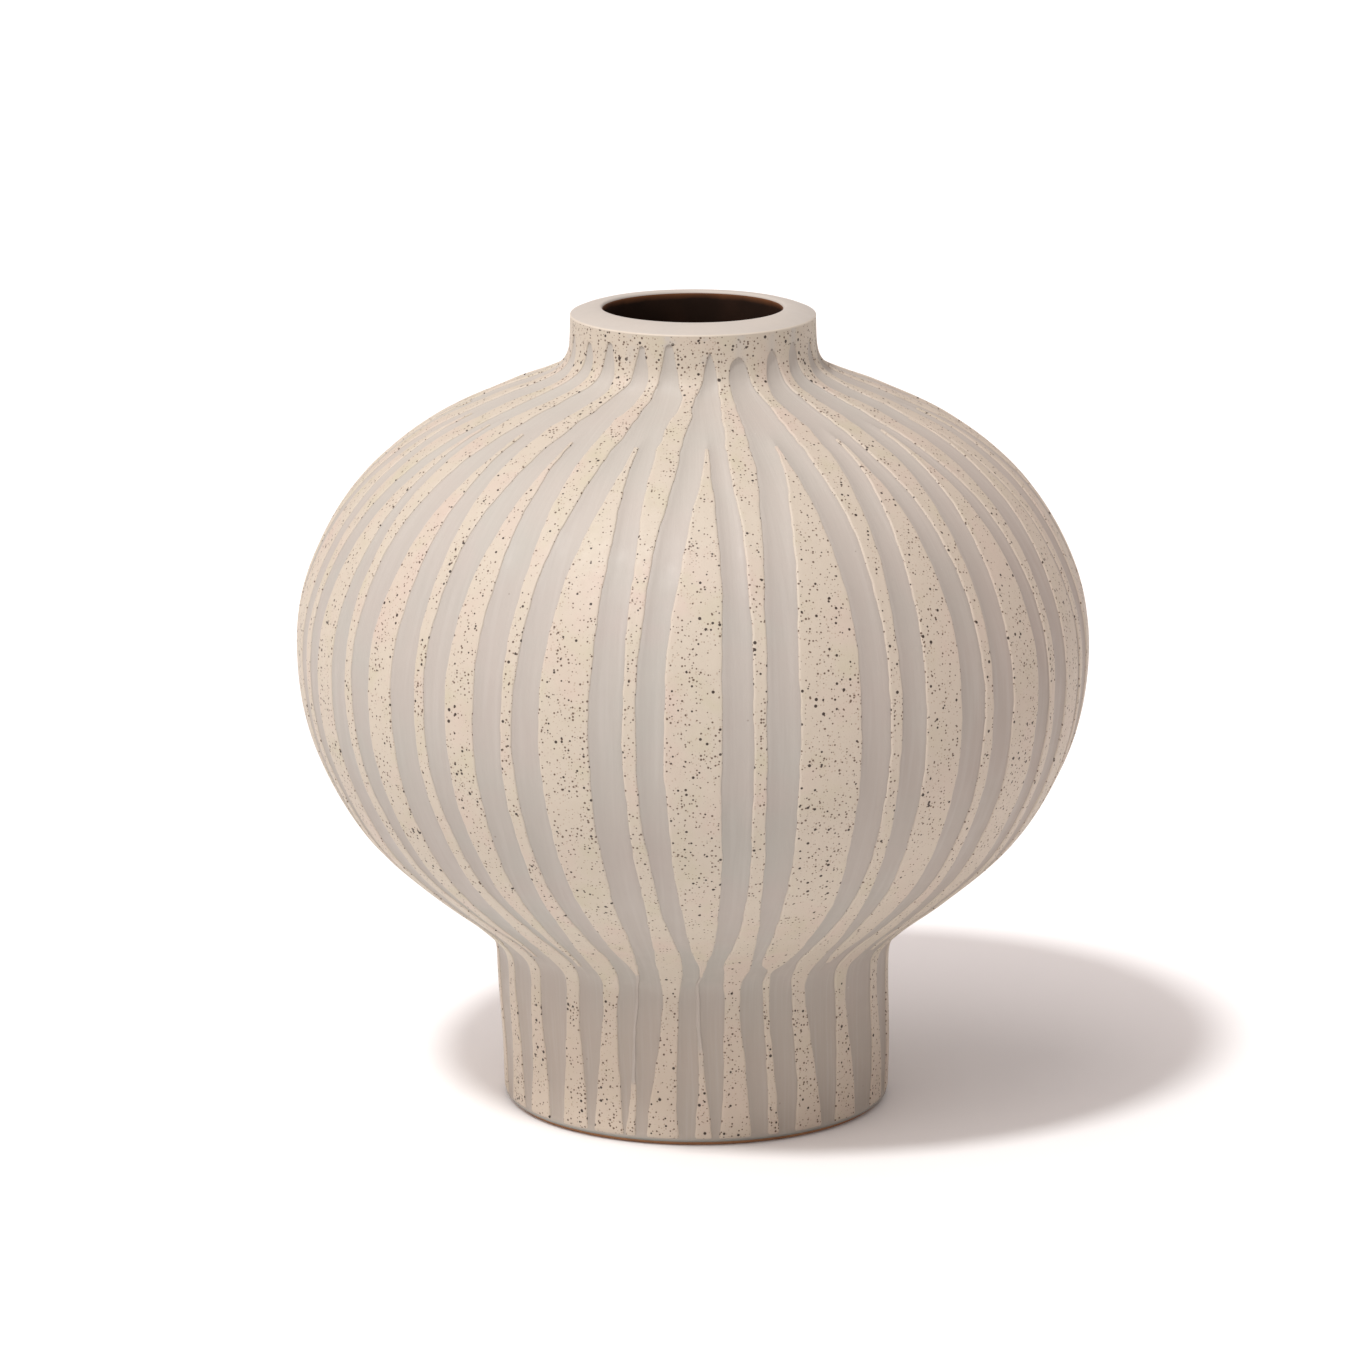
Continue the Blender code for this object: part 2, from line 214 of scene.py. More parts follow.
def read_outline(stems):
    """(radius, height) of the outer face at each station, from the stems' outer points."""
    found = set()
    for node in stems:
        r, _, z = polar(node)
        found |= set(zip(np.round(r, 6), np.round(z, 6)))
    points = np.array(sorted(found, key=lambda p: p[1]))
    merged = [points[0]]
    for p in points[1:]:
        if min(np.hypot(*(p - m)) for m in merged[-4:]) > 0.05 * MM:
            merged.append(p)
    points = np.array(merged)
    outer = []
    for k, p in enumerate(points):
        apart = np.hypot(*(points - p).T)
        apart[k] = np.inf
        if p[0] > points[np.argmin(apart)][0]:
            outer.append(p)
    lip_low, lip_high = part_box("lip")
    outer.append((lip_high.x, lip_low.z))
    return np.array(outer)


STEM_NODES = sorted(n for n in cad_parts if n.startswith("stem_band"))
LEAF_NODES = sorted(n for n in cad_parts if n.startswith("leaf_band"))
OUTLINE = read_outline(STEM_NODES)
STATIONS = OUTLINE[0, 1] + np.concatenate([[0], np.cumsum(np.hypot(*np.diff(OUTLINE, axis=0).T))])
radius_at = natural_spline(STATIONS, OUTLINE[:, 0])
height_at = natural_spline(STATIONS, OUTLINE[:, 1])
LIP_LENGTH = STATIONS[-1]


def below_face(s, depth):
    """Radius and height of points that lie this deep under the outer face."""
    dr, dz = radius_at(s, 1), height_at(s, 1)
    size = np.hypot(dr, dz)
    return radius_at(s) - depth * dz / size, height_at(s) + depth * dr / size


def wobble(azimuth, z):
    """Share by which a hand-thrown wall strays from round."""
    return 0.0016 * np.sin(2 * azimuth + 0.6 + 9 * z) + 0.0010 * np.sin(3 * azimuth + 2.1 - 14 * z)


def place(azimuth, radius, z):
    """Points in space, on a wall that is a little out of round, over a foot turned a little off centre."""
    radius = radius * (1 + wobble(azimuth, z))
    shift = FOOT_SHIFT * ease((SHIFT_FROM - z) / SHIFT_OVER)
    return np.stack([radius * np.sin(azimuth) + shift, -radius * np.cos(azimuth), z + 0 * azimuth], axis=-1)


def read_band(node):
    """Lengths along the face with the band's left and right azimuths there, and the band's middle azimuth."""
    r, azimuth, z = polar(node)
    middle = math.atan2(np.sin(azimuth).mean(), np.cos(azimuth).mean())
    azimuth = middle + np.angle(np.exp(1j * (azimuth - middle)))
    on_face = np.abs(r - np.interp(z, OUTLINE[:, 1], OUTLINE[:, 0])) < 0.05 * MM
    s = np.round(np.interp(z[on_face], OUTLINE[:, 1], STATIONS), 5)
    lengths = np.unique(s)
    left = np.array([azimuth[on_face][s == v].min() for v in lengths])
    right = np.array([azimuth[on_face][s == v].max() for v in lengths])
    return {"node": node, "s": lengths, "left": left, "right": right, "middle": middle}


STEMS = sorted((read_band(n) for n in STEM_NODES), key=lambda b: b["middle"])
LEAVES = sorted((read_band(n) for n in LEAF_NODES), key=lambda b: b["middle"])
COUNT = len(STEMS)

ROWS = np.concatenate([
    np.arange(BAND_BOTTOM, FINE_FROM, ROW_STEP),
    np.arange(FINE_FROM, COLLAR_BOTTOM, FINE_ROW_STEP),
    [COLLAR_BOTTOM],
])


def hand_cut(rng, s):
    """How far a cut edge strays: a little on the belly, more where the tool turns at the neck and the waist."""
    fine = wander(rng, s, FINE_WAVES_MM)
    knobbly = wander(rng, s, KNOBBLY_WAVES_MM)
    neck = np.exp(-(((s - NECK_MIDDLE) / NECK_SPREAD) ** 2))
    waist = np.exp(-(((s - WAIST_MIDDLE) / WAIST_SPREAD) ** 2))
    return fine + knobbly * (neck + 0.5 * waist)


def cut_edges(band, rng):
    """The band's left and right azimuths on every row, with hand-cut edges."""
    centre = through(band["s"], (band["left"] + band["right"]) / 2, ROWS)
    half = through(band["s"], (band["right"] - band["left"]) / 2 * radius_at(band["s"]), ROWS)
    inside = (ROWS >= band["s"][0] - ROW_STEP) & (ROWS <= band["s"][-1])
    stray = [np.clip(hand_cut(rng, ROWS), -0.35 * half, 0.35 * half) for _ in range(2)]
    left = centre - (half + stray[0]) / radius_at(ROWS)
    right = centre + (half + stray[1]) / radius_at(ROWS)
    return left, right, inside


def close_arch(a, b, top):
    """Draws a groove's two edges together below its rounded top, where the stems run into the collar."""
    radius = radius_at(ROWS)
    half = (b - a) / 2 * radius
    start = top - ARCH_HEIGHT
    t = np.clip((ROWS - start) / (top - start), 0.0, 1.0)
    narrowed = np.maximum(half * np.sqrt(1 - t ** 2.5), 0.004 * MM)
    middle = (a + b) / 2
    return middle - narrowed / radius, middle + narrowed / radius


def lay_out():
    """Edges of every stem, leaf and groove, row by row, going round to the right from the first stem."""
    rng = np.random.default_rng(17)
    stems = [cut_edges(b, rng) for b in STEMS]
    leaves = [cut_edges(b, rng) for b in LEAVES]
    front = [k for k, b in enumerate(STEMS) if b["node"] <= f"stem_band_{len(FRONT_ARCHES_MM):02d}"]
    cells = []
    for k in range(COUNT):
        a = stems[k][1]
        b = stems[(k + 1) % COUNT][0] + (math.tau if k == COUNT - 1 else 0.0)
        number = int(STEMS[k]["node"][-2:]) - 1
        top = FRONT_ARCHES_MM[number] if k in front else rng.uniform(*OTHER_ARCHES_MM)
        a, b = close_arch(a, b, top * MM)
        left, right, inside = find_leaf(leaves, a, b)
        cells.append({"a": a, "b": b, "left": left, "right": right, "inside": inside})
    return cells


def find_leaf(leaves, a, b):
    """The leaf between two stems, carried on past its tips as a hairline at the same share of the groove."""
    belly = np.argmax(radius_at(ROWS))
    turn = [(leaf, math.tau * t) for leaf in leaves for t in (0, 1)]
    (left, right, inside), shift = next(
        (leaf, t) for leaf, t in turn if a[belly] < leaf[0][belly] + t < b[belly]
    )
    left, right = left + shift, right + shift
    rows = np.flatnonzero(inside)
    hairline = 0.03 * MM / radius_at(ROWS)
    share = ((left + right) / 2 - a) / (b - a)
    held = np.interp(np.arange(len(ROWS)), rows, share[rows])
    centre = a + (b - a) * held
    left = np.where(inside, left, centre - hairline)
    right = np.where(inside, right, centre + hairline)
    low, high = np.minimum(a + hairline, b), np.maximum(b - hairline, a)
    return np.clip(left, low, high), np.clip(right, low, high), inside


# ---------------------------------------------------------------- meshes

def add_mesh(name, points, faces, floats=None, vectors=None):
    mesh = bpy.data.meshes.new(name)
    mesh.from_pydata(points.reshape(-1, 3).tolist(), [], faces)
    mesh.validate()
    mesh.shade_smooth()
    mesh.set_sharp_from_angle(angle=SHARP_ANGLE)
    for label, values in (floats or {}).items():
        mesh.attributes.new(label, "FLOAT", "POINT").data.foreach_set("value", np.ravel(values))
    for label, values in (vectors or {}).items():
        mesh.attributes.new(label, "FLOAT_VECTOR", "POINT").data.foreach_set("vector", np.ravel(values))
    piece = bpy.data.objects.new(name, mesh)
    bpy.context.scene.collection.objects.link(piece)
    return piece


def grid_faces(rows, columns):
    """Quads of a grid that closes on itself, facing out when rows go up and columns go round to the right."""
    faces = []
    for i in range(rows - 1):
        low, high = i * columns, (i + 1) * columns
        for j in range(columns):
            beside = (j + 1) % columns
            faces.append((low + j, low + beside, high + beside, high + j))
    return faces


def ride_as(piece, slot, *nodes):
    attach(piece, BODY)
    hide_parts(*nodes)
    return piece


def band_piece(name, rows, left, right, gap_left, gap_right, columns, node, material):
    """A raised strip of slip as a closed solid, with rounded edges and its back just inside the clay."""
    s = ROWS[rows]
    radius = radius_at(s)
    width = (right[rows] - left[rows]) * radius
    roundness = np.minimum(EDGE_ROUND, 0.32 * width)
    insets = []
    for side, edge_azimuth, gap in ((1, left[rows], gap_left[rows]), (-1, right[rows], gap_right[rows])):
        open_share = ease(gap / OPEN_GROOVE)
        steps = EDGE_PROFILE if side == 1 else EDGE_PROFILE[::-1]
        here = []
        for inset, depth in steps:
            azimuth = edge_azimuth + side * inset * roundness * open_share / radius
            sunk = WALL_FOOT_DEPTH + 0 * s if depth is None else depth * EDGE_DEPTH * open_share
            here.append((azimuth, sunk, (1 - max(inset, 0.0)) * open_share))
        insets.append(here)
    inner_left, inner_right = insets[0][-1][0], insets[1][0][0]
    middle = []
    for k in range(1, columns):
        t = k / columns
        azimuth = inner_left + (inner_right - inner_left) * t
        uneven = 0.018 * MM * np.sin(s / (2.3 * MM) + 40 * azimuth) * np.sin(s / (5.1 * MM) + 3)
        near = np.minimum(t, 1 - t) * (inner_right - inner_left) * radius / (0.45 * MM)
        middle.append((azimuth, uneven + FACE_DEPTH, np.clip(0.55 - near, 0.0, 1.0)))
    loop = insets[0] + middle + insets[1]
    azimuth = np.stack([c[0] for c in loop], axis=1)
    depth = np.stack([c[1] for c in loop], axis=1)
    edge = np.stack([c[2] for c in loop], axis=1)
    lowest = 1 - np.clip((s - s[0]) / (0.6 * MM), 0, 1)
    depth = depth + (EDGE_DEPTH * (1 - np.sqrt(1 - lowest ** 2)))[:, None]
    r, z = below_face(s[:, None] + 0 * depth, depth)
    points = place(azimuth, r, z)
    count, across = azimuth.shape
    faces = grid_faces(count, across)
    faces.append(tuple(range(across))[::-1])
    faces.append(tuple((count - 1) * across + j for j in range(across)))
    bare = 1 - ease((width - BARE_WIDTH) / BARE_BLEND)
    bare = (bare * (s < BARE_BELOW))[:, None] + 0 * azimuth
    piece = add_mesh(name, points, faces, {"edge": edge, "bare": bare, "smear": smears(azimuth, s[:, None])})
    piece.data.materials.append(material)
    return ride_as(piece, "speckled_slip", node)


def smears(azimuth, s):
    """Where grey glaze is smeared up over the slip above the grooves, from 0 to 1."""
    total = 0 * azimuth + 0 * s
    for centre_deg, half_deg, low, high, strength in SMEARS:
        across = np.angle(np.exp(1j * (azimuth - math.radians(centre_deg)))) / math.radians(half_deg)
        up = ease((s - low * MM) / SMEAR_FADE) * ease((high * MM - s) / SMEAR_FADE)
        total = np.maximum(total, strength * np.exp(-across ** 4) * up)
    return total


def groove_depth(x, width):
    """Depth of a scraped groove at a distance from its left edge: the hollow that a round tool leaves."""
    deepest = np.clip(0.22 * MM + 0.10 * width, EDGE_DEPTH, GROOVE_DEEPEST)
    share = np.clip(x / np.maximum(width, 0.001 * MM), 0, 1)
    return EDGE_DEPTH + (deepest - EDGE_DEPTH) * (1 - np.abs(2 * share - 1) ** 2.6)


def clay_columns(cells):
    """Azimuth and depth of the clay's outer face, row by row: grooves in full, and flat under the bands."""
    azimuths, depths = [], []
    radius = radius_at(ROWS)
    shares = np.linspace(0, 1, GROOVE_COLUMNS)
    for k in range(COUNT):
        cell, before = cells[k], cells[k - 1]
        stem_left = before["b"] - (math.tau if k == 0 else 0.0)
        for t in (0.25, 0.75):
            azimuths.append(stem_left + (cell["a"] - stem_left) * t)
            depths.append(UNDER_BAND_DEPTH + 0 * radius)
        a, b = cell["a"], cell["b"]
        whole = (b - a) * radius
        rows = np.flatnonzero(cell["inside"])
        above = ease((ROWS - ROWS[rows[-1]]) / CREST_ABOVE_TIP)
        below = ease((ROWS[rows[0]] - ROWS) / CREST_BELOW_TIP)
        double = 1 - np.maximum(above, below)
        for start, end in ((a, cell["left"]), (cell["right"], b)):
            width = (end - start) * radius
            for t in shares:
                azimuth = start + (end - start) * t
                two = groove_depth(t * width, width)
                one = groove_depth((azimuth - a) * radius, whole)
                azimuths.append(azimuth)
                depths.append(double * two + (1 - double) * one)
    return np.stack(azimuths, 1), np.stack(depths, 1)


def clay_body(cells, material):
    """The wall as one closed surface: under the foot, up the grooves, over the top and down the cavity."""
    azimuth, depth = clay_columns(cells)
    coarse = (ROWS > COARSE_FROM) & (ROWS < FINE_FROM) & (np.arange(len(ROWS)) % 2 == 1)
    rows = np.flatnonzero(~coarse)
    azimuth, depth = azimuth[rows], depth[rows]
    s = ROWS[rows][:, None] + 0 * azimuth
    blend = ease((s - BEAD_TOP) / BEAD_BLEND)
    depth = BEAD_DEPTH * (1 - blend) + depth * blend
    foot_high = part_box("foot_ring")[1]
    seat = foot_high.z + 0.05 * MM
    bead = radius_at(BEAD_TOP) - BEAD_DEPTH
    ring_inside = foot_high.x - FOOT_RING_WIDTH
    rings = [(azimuth[0], 0.0, RECESS_HEIGHT), (azimuth[0], ring_inside - 1.0 * MM, RECESS_HEIGHT)]
    rings += [(azimuth[0], ring_inside, seat), (azimuth[0], foot_high.x + 0.10 * MM, seat)]
    for swing in np.linspace(0, math.pi / 2, 7):
        inset, rise = BEAD_ROUND * (1 - math.sin(swing)), BEAD_ROUND * (1 - math.cos(swing))
        rings.append((azimuth[0], bead - inset, BEAD_BOTTOM + rise))
    r, z = below_face(s, depth)
    rings += [(azimuth[i], r[i], z[i]) for i in range(len(rows))]
    top = height_at(LIP_LENGTH) - 0.3 * MM
    outer_top = float(radius_at(LIP_LENGTH)) - 1.2 * MM
    inner_top = float(radius_at(LIP_LENGTH)) - CAVITY_DEPTH
    rings += [(azimuth[-1], outer_top, top - 1.0 * MM), (azimuth[-1], outer_top, top)]
    rings += [(azimuth[-1], inner_top, top)]
    for length in np.linspace(CAVITY_TOP, CAVITY_BOTTOM, CAVITY_RINGS):
        row = int(np.argmin(np.abs(ROWS[rows] - length)))
        inner_r, inner_z = below_face(length, CAVITY_DEPTH)
        rings.append((azimuth[row], float(inner_r), float(inner_z)))
    for floor_radius, floor_height in ((31.0, 13.0), (28.5, 10.2), (24.5, 9.0), (0.0, 9.0)):
        rings.append((azimuth[0], floor_radius * MM, floor_height * MM))
    points = np.stack([place(az, radius + 0 * az, height + 0 * az) for az, radius, height in rings])
    count, across = points.shape[:2]
    along = np.array([ring[0] * 0 + np.mean(ring[2]) for ring in rings])
    bead_mask = np.zeros((count, across))
    outside = slice(4, 11 + len(rows))
    bead_mask[outside] = 1 - ease((points[outside, :, 2] - 1.0 * MM) / (0.6 * MM))
    flow = np.stack([np.stack([ring[0] for ring in rings]) * 60 * MM, along, 0 * along], axis=-1)
    faces = grid_faces(count, across)
    piece = add_mesh("clay_wall", points, faces, {"bead": bead_mask}, {"flow": flow})
    piece.data.materials.append(material)
    return ride_as(piece, "groove_glaze", "clay_body")


def turned_piece(name, profile, material, slot, node, mouth=None, floats=None):
    """A solid of revolution from (radius, height) pairs that run up the outside and down the inside."""
    azimuth = np.linspace(0, math.tau, TURNED_SIDES, endpoint=False)
    rings = []
    for radius, height in profile:
        ring = radius + 0 * azimuth
        if mouth:
            ring = mouth(azimuth, radius, height)
        rings.append(place(azimuth, ring, height + 0 * azimuth))
    rings.append(rings[0])
    points = np.stack(rings)
    faces = grid_faces(len(rings), TURNED_SIDES)
    values = {}
    for label, column in (floats or {}).items():
        values[label] = np.repeat(np.array(column + column[:1])[:, None], TURNED_SIDES, 1)
    piece = add_mesh(name, points, faces, values)
    weld(piece)
    piece.data.materials.append(material)
    return ride_as(piece, slot, node)


def weld(piece):
    """Joins the first and last rings, and the points where a profile meets the axis."""
    shape = bmesh.new()
    shape.from_mesh(piece.data)
    bmesh.ops.remove_doubles(shape, verts=shape.verts, dist=0.002 * MM)
    shape.to_mesh(piece.data)
    shape.free()
    piece.data.shade_smooth()
    piece.data.set_sharp_from_angle(angle=SHARP_ANGLE)


def arc(centre, radius, start, end, steps):
    """Points on part of a circle in the profile plane, angles in degrees from +R towards +Z."""
    return [
        (centre[0] + radius * math.cos(math.radians(a)), centre[1] + radius * math.sin(math.radians(a)))
        for a in np.linspace(start, end, steps)
    ]


def oval_mouth(azimuth, radius, _):
    """The bore is a little wider from side to side than from front to back, as a squeezed rim is."""
    outer = float(radius_at(LIP_LENGTH))
    share = np.clip((outer - radius) / LINING_DEPTH, 0, 1.3)
    squeeze = -0.20 * np.cos(2 * azimuth) + 0.10 * np.sin(3 * azimuth + 0.8) - 0.33
    return radius + squeeze * MM * share


def lip(material):
    outer = float(radius_at(LIP_LENGTH))
    top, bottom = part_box("lip")[1].z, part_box("lip")[0].z
    inner = outer - LINING_DEPTH
    corner = arc((outer - 0.34 * MM, bottom + 0.04 * MM), 0.34 * MM, 0, 66, 6)
    crown = [(outer - 1.5 * MM, top - 0.72 * MM), (outer - 2.9 * MM, top - 0.30 * MM)]
    crown += [(outer - 4.2 * MM, top - 0.05 * MM)]
    edge = arc((inner + 0.6 * MM, top - 0.6 * MM), 0.6 * MM, 92, 180, 8)
    inside = [(inner, top - 1.3 * MM), (inner + 0.15 * MM, bottom - 0.05 * MM)]
    hidden = [(outer - 0.5 * MM, bottom - 0.05 * MM)]
    profile = [(outer, bottom - 0.02 * MM), *corner, *crown, *edge, *inside, *hidden]
    marks = {"corner": [1.0] * 5 + [0.35] + [0.0] * (len(profile) - 6)}
    return turned_piece("lip_ring", profile, material, "lip_glaze", "lip", mouth=oval_mouth, floats=marks)


def collar(material):
    """The slip band under the lip, flush with the stems that run up into it."""
    s = np.linspace(COLLAR_BOTTOM, LIP_LENGTH, COLLAR_RINGS)
    s = np.append(s, [LIP_LENGTH, COLLAR_BOTTOM, COLLAR_BOTTOM])
    depth = np.append(np.full(COLLAR_RINGS, FACE_DEPTH), [WALL_FOOT_DEPTH, WALL_FOOT_DEPTH, FACE_DEPTH])
    azimuth = np.linspace(0, math.tau, TURNED_SIDES, endpoint=False)
    r, z = below_face(s, depth)
    points = np.stack([place(azimuth, a, b) for a, b in zip(r.tolist(), z.tolist())])
    faces = grid_faces(len(s), TURNED_SIDES)
    piece = add_mesh("collar_band", points, faces, {"smear": smears(azimuth[None, :], s[:, None])})
    weld(piece)
    piece.data.materials.append(material)
    return ride_as(piece, "speckled_slip", "speckled_collar")


def lining(material):
    """The glaze inside: a thin roll where it starts under the lip, then the cavity wall and the floor."""
    inner = float(radius_at(LIP_LENGTH)) - LINING_DEPTH
    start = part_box("lip")[1].z - 0.40 * MM
    roll = [(inner + 0.06 * MM, start), (inner - 0.03 * MM, start - 0.12 * MM)]
    roll += [(inner - 0.08 * MM, start - 0.40 * MM), (inner - 0.08 * MM, start - 1.6 * MM)]
    roll += [(inner - 0.04 * MM, start - 3.2 * MM)]
    s = np.linspace(LINING_TOP, LINING_BOTTOM, 90)
    r, z = below_face(s, LINING_DEPTH + 0 * s)
    wall = [(a - 0.10 * MM, b) for a, b in zip(r.tolist(), z.tolist())]
    floor = [(30.6 * MM, 13.4 * MM), (28.9 * MM, 11.0 * MM), (25.0 * MM, 9.9 * MM), (0.0, 9.9 * MM)]
    back_floor = [(0.0, 9.3 * MM), (25.0 * MM, 9.3 * MM), (29.4 * MM, 10.6 * MM), (31.2 * MM, 13.2 * MM)]
    r, z = below_face(s[::-1], LINING_DEPTH - LINING_THICKNESS + 0 * s)
    back = list(zip(r.tolist(), z.tolist())) + [(inner + LINING_THICKNESS, start - 1.7 * MM)]
    profile = roll + wall + floor + back_floor + back
    return turned_piece("brown_lining", profile, material, "brown_glaze", "interior_glaze", mouth=lining_mouth)


def lining_mouth(azimuth, radius, height):
    """Follows the oval bore at the top and is round below."""
    near = float(ease((height - 138 * MM) / (8 * MM)))
    return radius + (oval_mouth(azimuth, radius, height) - radius) * near


def foot_ring(material):
    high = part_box("foot_ring")[1]
    outer, width, edge, top = high.x + 0.08 * MM, FOOT_RING_WIDTH, FOOT_RING_EDGE, high.z
    profile = [
        *arc((outer - edge, edge), edge, -90, 0, 6),
        (outer, top),
        (outer - width, top),
        *arc((outer - width + edge, edge), edge, 180, 270, 6),
        (outer - 0.6 * width, 0.0),
        (outer - 0.3 * width, 0.0),
    ]
    return turned_piece("foot_ring_clay", profile, material, "raw_clay", "foot_ring")


# ---------------------------------------------------------------- materials

class Nodes:
    """A material and a short way to add nodes to it."""

    def __init__(self, name, roughness):
        self.material = bpy.data.materials.new(name)
        self.material.use_nodes = True
        self.tree = self.material.node_tree
        self.shader = self.tree.nodes["Principled BSDF"]
        self.shader.inputs["Roughness"].default_value = roughness
        self.place = self.add("ShaderNodeTexCoord").outputs["Object"]
        axes = self.add("ShaderNodeSeparateXYZ", {0: self.place})
        self.across, self.height = axes.outputs["X"], axes.outputs["Z"]

    def add(self, kind, inputs=None, **settings):
        node = self.tree.nodes.new(kind)
        for key, value in settings.items():
            setattr(node, key, value)
        for key, value in (inputs or {}).items():
            self.put(node.inputs[key], value)
        return node

    def put(self, socket, value):
        if isinstance(value, bpy.types.NodeSocket):
            self.tree.links.new(value, socket)
        else:
            socket.default_value = value

    def noise(self, scale, detail=2.0, roughness=0.5, vector=None):
        inputs = {"Vector": vector or self.place, "Scale": scale, "Detail": detail, "Roughness": roughness}
        return self.add("ShaderNodeTexNoise", inputs).outputs["Fac"]

    def maths(self, operation, a, b=0.0, clamp=False):
        return self.add("ShaderNodeMath", {0: a, 1: b}, operation=operation, use_clamp=clamp).outputs[0]

    def fit(self, value, low, high, to_low=0.0, to_high=1.0):
        inputs = {"Value": value, "From Min": low, "From Max": high, "To Min": to_low, "To Max": to_high}
        return self.add("ShaderNodeMapRange", inputs, clamp=True).outputs["Result"]

    def mix(self, share, a, b):
        node = self.add("ShaderNodeMix", {0: share}, data_type="RGBA")
        self.put(node.inputs[6], (*a, 1.0) if isinstance(a, tuple) else a)
        self.put(node.inputs[7], (*b, 1.0) if isinstance(b, tuple) else b)
        return node.outputs[2]

    def attribute(self, name, output="Fac"):
        return self.add("ShaderNodeAttribute", attribute_name=name).outputs[output]

    def specks(self, cell_mm, radius_mm, crowd, fewest, soft_mm=0.05):
        """Round grains in the clay, of random sizes: each cell holds at most one, more where crowd is high."""
        cells = self.add("ShaderNodeTexVoronoi", {"Vector": self.place, "Scale": 1000 / cell_mm})
        chance = self.add("ShaderNodeSeparateColor", {0: cells.outputs["Color"]}).outputs[0]
        bar = self.fit(crowd, 0.3, 0.7, fewest, fewest - 0.45)  # a cell whose chance is over this has a grain
        size = self.maths("DIVIDE", self.maths("SUBTRACT", chance, bar), 0.75, clamp=True)
        size = self.maths("POWER", size, 0.55)
        radius = self.maths("MULTIPLY", size, radius_mm / cell_mm)
        inside = self.maths("SUBTRACT", radius, cells.outputs["Distance"])
        return self.maths("DIVIDE", inside, soft_mm / cell_mm, clamp=True)

    def finish(self, colour, roughness=None, height=None, bump_mm=0.05, strength=1.0):
        self.put(self.shader.inputs["Base Color"], colour)
        if roughness is not None:
            self.put(self.shader.inputs["Roughness"], roughness)
        if height is not None:
            inputs = {"Height": height, "Strength": strength, "Distance": bump_mm * MM}
            bump = self.add("ShaderNodeBump", inputs)
            self.put(self.shader.inputs["Normal"], bump.outputs["Normal"])
        return self.material


def speckled_slip():
    """Matte cream slip, mottled pink and straw, with dark iron specks, paler at its cut edges; painted shade
    darkens it on the right side and towards the foot.
    """
    n = Nodes("speckled_slip_fired", 0.6)
    cream, pink, straw = (0.500, 0.445, 0.365), (0.510, 0.420, 0.355), (0.470, 0.430, 0.325)
    grey = (0.440, 0.415, 0.380)
    broad = n.noise(85.0, 3.0)
    tint = n.mix(n.fit(broad, 0.50, 0.72), cream, pink)
    tint = n.mix(n.fit(n.noise(140.0, 3.0), 0.52, 0.75), tint, straw)
    blotch = n.fit(n.noise(420.0, 4.0, 0.6), 0.25, 0.75, 0.0, 1.0)
    tint = n.mix(n.maths("MULTIPLY", blotch, 0.22), tint, (0.425, 0.365, 0.290))
    tint = n.mix(n.maths("MULTIPLY", n.attribute("edge"), 0.32), tint, (0.560, 0.520, 0.455))
    # Painted shade: darker and warmer towards the right side, which faces away from the key light and the
    # softbox
    tint = n.mix(n.fit(n.across, 5 * MM, 60 * MM, 0.0, 0.50), tint, (0.470, 0.385, 0.315))
    # Painted shade: darker and warmer towards the foot
    tint = n.mix(n.fit(n.height, 34 * MM, 18 * MM, 0.0, 0.50), tint, (0.500, 0.410, 0.325))
    smear = n.attribute("smear")
    tint = n.mix(n.maths("MULTIPLY", smear, 0.9), tint, grey)
    neck = n.fit(n.height, 132 * MM, 139 * MM, 0.0, 0.20)
    foot = n.fit(n.height, 34 * MM, 26 * MM, 0.0, 0.27)
    shoulder = n.fit(n.height, 100 * MM, 120 * MM, 0.0, 0.10)
    underside = n.fit(n.height, 62 * MM, 40 * MM, 0.0, 0.22)
    richer = n.maths("SUBTRACT", n.maths("ADD", neck, foot), n.maths("ADD", shoulder, underside))
    richer = n.maths("ADD", richer, 0.02)
    crowd = n.maths("ADD", n.noise(110.0, 2.0), richer)
    clumps = n.maths("ADD", n.noise(190.0, 2.0), richer)
    faint = n.specks(0.52, 0.20, clumps, 0.50, 0.08)
    small = n.specks(0.66, 0.24, clumps, 0.52, 0.05)
    big = n.specks(1.20, 0.35, crowd, 0.61, 0.06)
    shown = n.maths("SUBTRACT", 1.0, n.maths("MAXIMUM", n.maths("MULTIPLY", smear, 0.8), n.attribute("bare")))
    colour = n.mix(n.maths("MULTIPLY", n.maths("MULTIPLY", faint, 0.45), shown), tint, (0.230, 0.135, 0.085))
    colour = n.mix(n.maths("MULTIPLY", n.maths("MULTIPLY", small, 0.90), shown), colour, (0.070, 0.033, 0.016))
    colour = n.mix(n.maths("MULTIPLY", n.maths("MULTIPLY", big, 0.97), shown), colour, (0.022, 0.010, 0.005))
    colour = n.mix(n.attribute("bare"), colour, (0.402, 0.360, 0.318))
    rough = n.fit(n.noise(600.0, 3.0), 0.3, 0.7, 0.50, 0.62)
    grain = n.noise(2600.0, 3.0, 0.6)
    swell = n.noise(230.0, 2.0)
    height = n.maths("ADD", n.maths("MULTIPLY", grain, 0.35), n.maths("MULTIPLY", swell, 1.6))
    height = n.maths("SUBTRACT", height, n.maths("MULTIPLY", big, 0.35))
    return n.finish(colour, rough, height, 0.06, 0.8)


